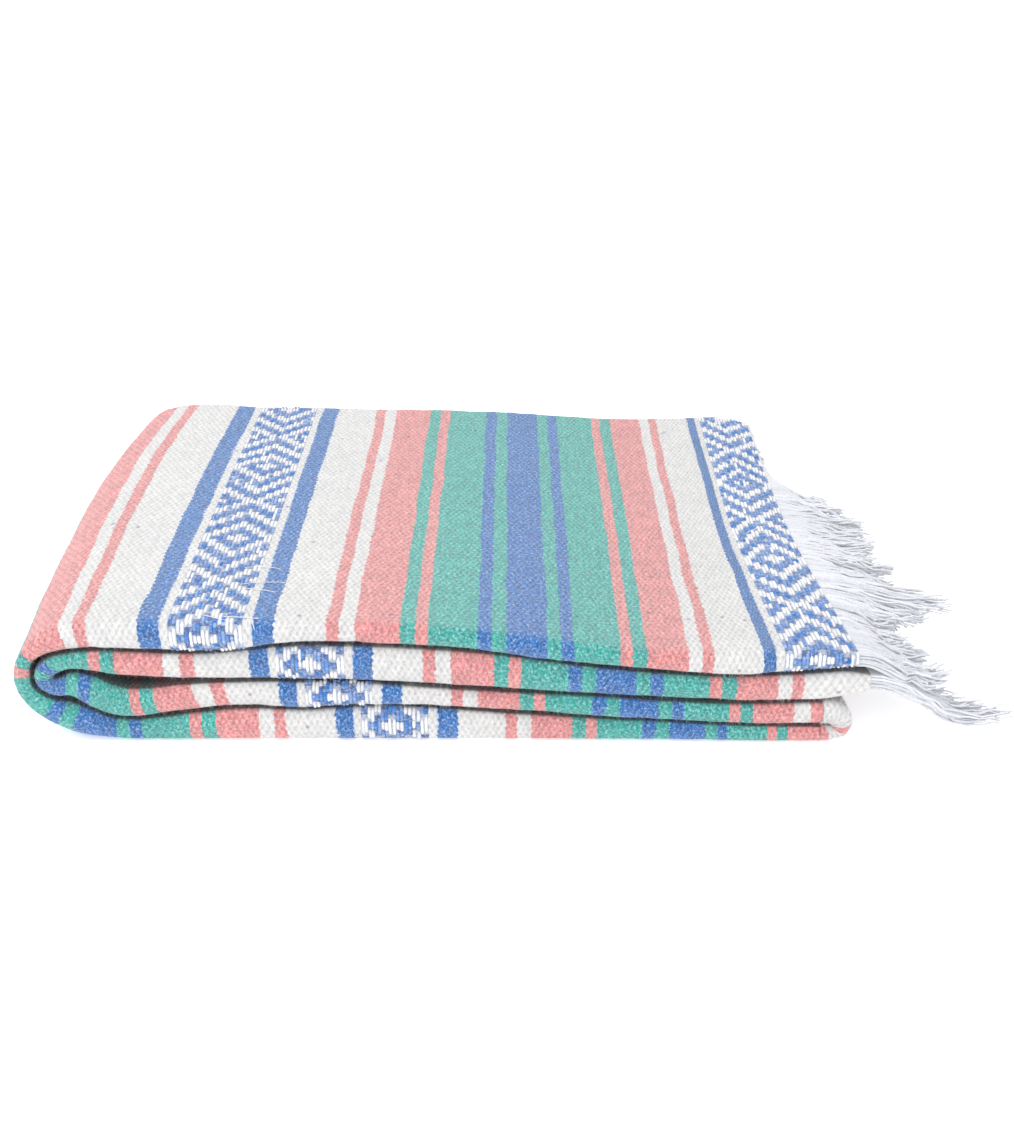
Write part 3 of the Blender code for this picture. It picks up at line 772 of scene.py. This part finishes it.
yarn = {
    "thick": 0.82 * mm, "tip": 0.75, "points": 12, "sides": 4, "shortest": 0.74, "longest": 1.06,
    "lock": 9.5 * mm, "locks": 90, "gather": 0.45,  # a lock's usual width, and how far its strands close up
    "lean": 2.6 * mm, "lift": 1.6 * mm,  # how far locks turn aside and rise
    "wide": 41 * mm, "widePull": 2.6 * mm,
    "crimp": (2.3 * mm, 13), "bounce": (1.5 * mm, 11),  # height and turns of each strand's own waves
    "stray": 1.5 * mm, "droopBy": 0.8, "driftBend": 1.4, "root": 1.2 * mm,
    "wave": 7 * mm, "waveSize": 85.0, "fullWave": 40 * mm,  # strands shorter than this wander less
    "edge": 2 * mm, "floor": 1.3 * mm,
    "strip": 1.2 * mm, "stripSteps": 200, "stripSides": 12, "lump": 0.35 * mm,
}


def makeFringe(name, fringe):
    random = np.random.default_rng(fringe["seed"])
    ox, oz, ix, iz, draw = (value * mm for value in fringe["end"])
    front, back = -pile["depth"] / 2 + yarn["edge"], pile["depth"] / 2 - yarn["edge"]
    top, bottom = oz - yarn["edge"] / 2, iz + yarn["edge"] / 2
    count = fringe["across"] * fringe["levels"]
    level = np.tile(np.arange(fringe["levels"]), fringe["across"])
    y = front + (back - front) * (np.arange(count) + random.uniform(0, 1, count)) / count
    z = bottom + (top - bottom) * (level + random.uniform(0.15, 0.85, count)) / fringe["levels"]
    rows = np.array(fringe["rows"], float) * mm
    reach, drop, drift = (throughPoints(rows[:, 0], rows[:, k], y) for k in (1, 2, 3))
    # each lock leans, lifts and reaches in its own way
    edges = np.cumsum(random.uniform(0.6, 1.5, yarn["locks"])) * yarn["lock"] + front - 2 * yarn["lock"]
    lock = np.searchsorted(edges, y)
    centre = (edges[lock - 1] + edges[lock]) / 2
    lean, lift = (random.normal(0, yarn[key], yarn["locks"] + 1)[lock] for key in ("lean", "lift"))
    long = random.uniform(0.86, 1.04, yarn["locks"] + 1)[lock]
    length = random.uniform(yarn["shortest"], yarn["longest"], count) * long
    share = np.linspace(0, 1, yarn["points"])[None, :]
    gone = share * length[:, None]
    soft = smooth(gone)
    phase, tall = random.uniform(0, 6.28, (2, count, 1))
    slim = random.uniform(0.3, 1, (count, 1))
    away = random.normal(0, yarn["stray"], (count, 1))
    crimp, bounce = (slim * yarn[key][0] * np.sin(start + yarn[key][1] * gone) * share
                     for key, start in (("crimp", phase), ("bounce", tall)))
    px = ox + 0.4 * mm + reach[:, None] * gone
    py = (y[:, None] + (drift + lean)[:, None] * gone**yarn["driftBend"]
          + (centre - y)[:, None] * yarn["gather"] * soft
          + yarn["widePull"] * np.sin(2 * math.pi * y / yarn["wide"])[:, None] * soft
          + crimp + away * share**2)
    pz = z[:, None] - drop[:, None] * smooth(gone / yarn["droopBy"]) + lift[:, None] * soft + bounce
    placed = settle(px, py, pz, draw)
    low = yarn["floor"] + 0.25 * mm * random.uniform(0, 1, (count, 1)) + (z[:, None] - bottom) * 0.25
    placed[..., 2] = np.maximum(placed[..., 2], low)
    placed[:, 0, 0] -= yarn["root"]
    thick = yarn["thick"] * random.uniform(0.75, 1.15, (count, 1)) * (1 - (1 - yarn["tip"]) * share**2)
    along = np.broadcast_to(share * 0.08, (count, yarn["points"]))
    apart = random.uniform(0, 3, (count, 1))
    place = np.stack([along + apart, np.broadcast_to(y[:, None], along.shape), 0 * along], -1)
    tint = np.broadcast_to(random.uniform(0, 1, (count, 1)), along.shape)
    loose = smooth(share * 2) * np.minimum(1, reach / yarn["fullWave"])[:, None]
    lines = strandGuide(name, placed, {"thick": thick, "loose": loose, "weave": place, "tint": tint})
    piece = grow(name, lines, strands, {"Wave": yarn["wave"], "Wave size": yarn["waveSize"],
                                        "Sides": yarn["sides"], "Material": fringeFinish})
    # the strip: the knotted ends of the cloth, lumpy, closed all round
    steps, sides = yarn["stripSteps"], yarn["stripSides"]
    ys = np.linspace(front + 1 * mm, back - 1 * mm, steps)
    ring = []
    for turn in np.linspace(0, 2 * math.pi, sides, endpoint=False):
        out = max(math.cos(turn), -0.2) * yarn["strip"]
        rise = math.sin(turn) * ((top - bottom) / 2 - 0.4 * mm)
        lump = yarn["lump"] * softNoise(ys / 0.0024, turn * 3, fringe["seed"] + 20)
        stripX = ox + 0.5 * mm + out + lump * math.cos(turn)
        ring.append(settle(stripX, ys, (top + bottom) / 2 + rise + lump * math.sin(turn), draw))
    place = np.stack([np.repeat(ys, sides), np.tile(np.arange(sides) * mm, steps), np.zeros(steps * sides)], -1)
    strip = meshFrom(name + "_strip", np.stack(ring, 1).reshape(-1, 3), tubeFaces(steps, sides),
                     {"weave": place, "tint": np.full(steps * sides, 0.4)})
    return joinInto(piece, strip, fringeFinish)


# a fringe and its strip become one piece
def joinInto(piece, mesh, material):
    other = addPiece(mesh.name, mesh, material)
    with bpy.context.temp_override(active_object=piece, selected_editable_objects=[piece, other]):
        bpy.ops.object.join()
    return piece


layerPieces = {}
for name, slack in (("outer", 0), ("inner", 0), ("rightFold", 0.6 * mm)):
    mesh = makeLayers(name + "Layers", stretches[name]["rows"], slack)
    layerPieces[name] = addPiece(name + "Layers", mesh, edgeFinish)
fringes = {"top": makeFringe("topFringe", topFringe), "second": makeFringe("secondFringe", secondFringe)}
for name, piece in fringes.items():
    print(name, "fringe:", len(piece.data.polygons), "faces")

# Where a place on the cloth lies in space, lifted off its surface. u is the stripes' phase, v the way from the
# front fold's foremost line.
def onCloth(run, u, v, lift):
    order = np.argsort(run["phase"])
    row = np.interp(u, run["phase"][order], order.astype(float))
    low = np.clip(np.floor(row).astype(int), 0, len(run["at"]) - 2)
    part = (row - low)[..., None]
    columns = np.arange(len(run["kind"]))
    placed, facing = [], []
    for index, across in np.ndenumerate(np.broadcast_to(v, np.shape(row))):
        i = low[index]
        column = np.interp(across, run["weft"][i][::-1], columns[::-1])
        j = min(int(column), len(columns) - 2)
        s, t = part[index][0], column - j
        weights = ((i, j, (1 - s) * (1 - t)), (i + 1, j, s * (1 - t)),
                   (i, j + 1, (1 - s) * t), (i + 1, j + 1, s * t))
        placed.append(sum(run["outer"][a, b] * w for a, b, w in weights))
        facing.append(sum(run["normal"][a, b] * w for a, b, w in weights))
    shape = np.shape(row) + (3,)
    lifted = np.array(facing).reshape(shape) * np.broadcast_to(lift, np.shape(row))[..., None]
    return np.array(placed).reshape(shape) + lifted


# The diamond field's floats: two yarns side by side in each column, each diving under at its ends.
floats = {
    "thick": 0.92 * mm, "deep": 1.4 * mm, "proud": 0.05 * mm, "jitter": 1.6 * mm, "shorter": 0.6 * mm,
    "shortest": 2.5 * mm, "aside": 0.3 * mm, "flipped": 0.05, "sides": 6,
    "shares": (0, 0.12, 0.32, 0.68, 0.88, 1),  # along a float: where it has these heights and thicknesses
    "arch": (-1, -0.35, 1, 1, -0.35, -1),
    "taper": (0.6, 0.85, 1, 1, 0.85, 0.6),
    # each field's middle in the repeat and the way from the front that it covers, in millimetres
    "outerFields": ((0, -9, 325), (322.4, -9, 325), (-322.4, -12, 9)),
    "innerFields": ((0, -9, 11), (-322.4, -11, 9)),
}


def makeFloats(name, run, fields, seed):
    random = np.random.default_rng(seed)
    shares, arch, taper = (np.array(floats[key]) for key in ("shares", "arch", "taper"))
    us, vs, tints = [], [], []
    for centre, low, high in fields:
        for k in range(2 * weave["columns"]):
            u = centre * mm + (k - weave["columns"] + 0.5) * weave["column"] / 2
            if not run["phase"].min() < u < run["phase"].max():
                continue
            column = abs(k // 2 - weave["columns"] // 2)
            v = np.arange(low, high, 0.5) * mm
            bent = np.abs((v / weave["turn"] + 1) % 2 - 1) * weave["turn"]
            blue = (bent + column * weave["slant"] + weave["start"]) / (2 * weave["float"]) % 1 < 0.5
            cuts = np.flatnonzero(np.diff(blue.astype(int))) + 1
            for first, last in zip([0, *cuts], [*cuts, len(v) - 1]):
                if v[last] - v[first] < floats["shortest"]:
                    continue
                isBlue = bool(blue[first]) != (random.uniform() < floats["flipped"])
                shorter = floats["shorter"] if isBlue else -floats["shorter"]
                ends = np.array((v[first] + shorter, v[last] - shorter))
                ends += random.uniform(-1, 1, 2) * floats["jitter"]
                us.append(u + random.uniform(-1, 1) * floats["aside"] + 0 * shares)
                vs.append(ends[0] + (ends[1] - ends[0]) * shares)
                tints.append(random.uniform(0.72, 1) if isBlue else random.uniform(0, 0.1))
    us, vs = np.array(us), np.array(vs)
    lift = arch[None, :] * (floats["deep"] + floats["proud"]) / 2 - (floats["deep"] - floats["proud"]) / 2
    thick = floats["thick"] * taper[None, :] * random.uniform(0.88, 1.1, (len(us), 1))
    tint = np.broadcast_to(np.array(tints)[:, None], us.shape)
    guide = strandGuide(name, onCloth(run, us, vs, lift), {"thick": thick, "loose": 0 * us, "tint": tint,
                                                           "weave": np.stack([us, vs, 0 * us], -1)})
    return grow(name, guide, strands, {"Wave": 0.0, "Wave size": 1.0, "Sides": floats["sides"],
                                       "Material": floatFinish})


floatPieces = {name: makeFloats(name + "Floats", runs[name], floats[name + "Fields"], seed)
               for name, seed in (("outer", 21), ("inner", 22))}
for name, piece in floatPieces.items():
    print(name, "floats:", len(piece.data.polygons), "faces")

# fuzz that stands a little proud of the cloth, most on the front folds
fuzz = {"Density": 430000.0, "Length": 2.6 * mm, "Thickness": 0.085 * mm, "Lean": 1.15, "Material": napFinish}
napPieces = {}
for number, name in enumerate(("outer", "inner", "rightFold")):
    guide = cloths[name].data.copy()
    guide.materials.clear()
    napPieces[name] = grow(name + "Nap", guide, naps, {**fuzz, "Seed": 5 + number})
    print(name, "nap:", len(napPieces[name].data.polygons), "faces")

# pulled threads on the diamond field near the front: u and v of both ends, in millimetres
threads = {
    "ends": ((8, 68, 30, 66), (10, 48, 35, 50), (13, 44, 31, 39), (6, 12, 27, 9), (-5, 15, 14, 8),
             (5, 31, 16, 23), (18, 21, 25, 3), (309, 60, 330, 52), (312, 140, 326, 148)),
    "points": 12, "thick": 0.24 * mm, "proud": 1.1 * mm, "rooted": 0.3 * mm, "bow": 2.2 * mm,
    "wave": 2 * mm, "waveSize": 160.0, "loose": 0.3, "sides": 4, "seed": 77,
}


def makeThreads():
    random = np.random.default_rng(threads["seed"])
    share = np.linspace(0, 1, threads["points"])
    ends = np.array(threads["ends"], float) * mm
    bow = random.uniform(-1, 1, (len(ends), 1)) * threads["bow"] * np.sin(math.pi * share)
    us = ends[:, :1] + (ends[:, 2:3] - ends[:, :1]) * share + bow * 0.3
    vs = ends[:, 1:2] + (ends[:, 3:] - ends[:, 1:2]) * share + bow
    lift = threads["proud"] * np.sin(math.pi * share) ** 0.5 - threads["rooted"]
    guide = strandGuide("strayThreads", onCloth(runs["outer"], us, vs, lift[None, :]),
                        {"thick": threads["thick"] + 0 * us, "loose": threads["loose"] + 0 * us,
                         "weave": np.stack([us, vs, 0 * us], -1), "tint": 0 * us})
    return grow("strayThreads", guide, strands, {"Wave": threads["wave"], "Wave size": threads["waveSize"],
                                                 "Sides": threads["sides"], "Material": floatFinish})


strayThreads = makeThreads()

# the floor and soft studio light
studio = {
    "floorSize": 60, "floorBelow": 0.6 * mm, "floorTone": (0.93, 0.93, 0.93, 1), "glow": 0.5, "world": 0.88,
    "lights": (("key", (-0.7, -0.5, 1.7), 1.4, 25), ("fill", (1.0, -1.2, 1.0), 1.6, 3)),  # place, size and power
}
bpy.ops.mesh.primitive_plane_add(size=studio["floorSize"], location=(0, 0, -studio["floorBelow"]))
floor = bpy.context.object
floor.name = "floor"
floorPaint = bpy.data.materials.new("floor")
floorPaint.use_nodes = True
for socket, value in (("Base Color", studio["floorTone"]), ("Roughness", 0.9), ("Emission Color", (1, 1, 1, 1)),
                      ("Emission Strength", studio["glow"])):
    floorPaint.node_tree.nodes["Principled BSDF"].inputs[socket].default_value = value
floor.data.materials.append(floorPaint)
world = bpy.data.worlds.new("studio")
world.use_nodes = True
world.node_tree.nodes["Background"].inputs[0].default_value = (1, 1, 1, 1)
world.node_tree.nodes["Background"].inputs[1].default_value = studio["world"]
scene.world = world
for name, place, size, power in studio["lights"]:
    lamp = bpy.data.lights.new(name, "AREA")
    lamp.size = size
    lamp.energy = power
    light = bpy.data.objects.new(name, lamp)
    light.location = place
    light.rotation_euler = Vector([-c for c in place]).to_track_quat("-Z", "Y").to_euler()
    scene.collection.objects.link(light)
scene.view_settings.view_transform = "Standard"
print("floor, light and camera ready")

striped = [*cloths.values(), *floatPieces.values(), *napPieces.values(), strayThreads]
for piece in [*striped, *layerPieces.values(), *fringes.values()]:
    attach(piece, "root")
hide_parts("outer_layers")
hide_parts("inner_layers")
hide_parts("right_fold_layers")
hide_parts("top_fringe")
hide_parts("second_fringe")
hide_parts("outer_cloth")
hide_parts("inner_cloth")
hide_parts("right_fold_cloth")
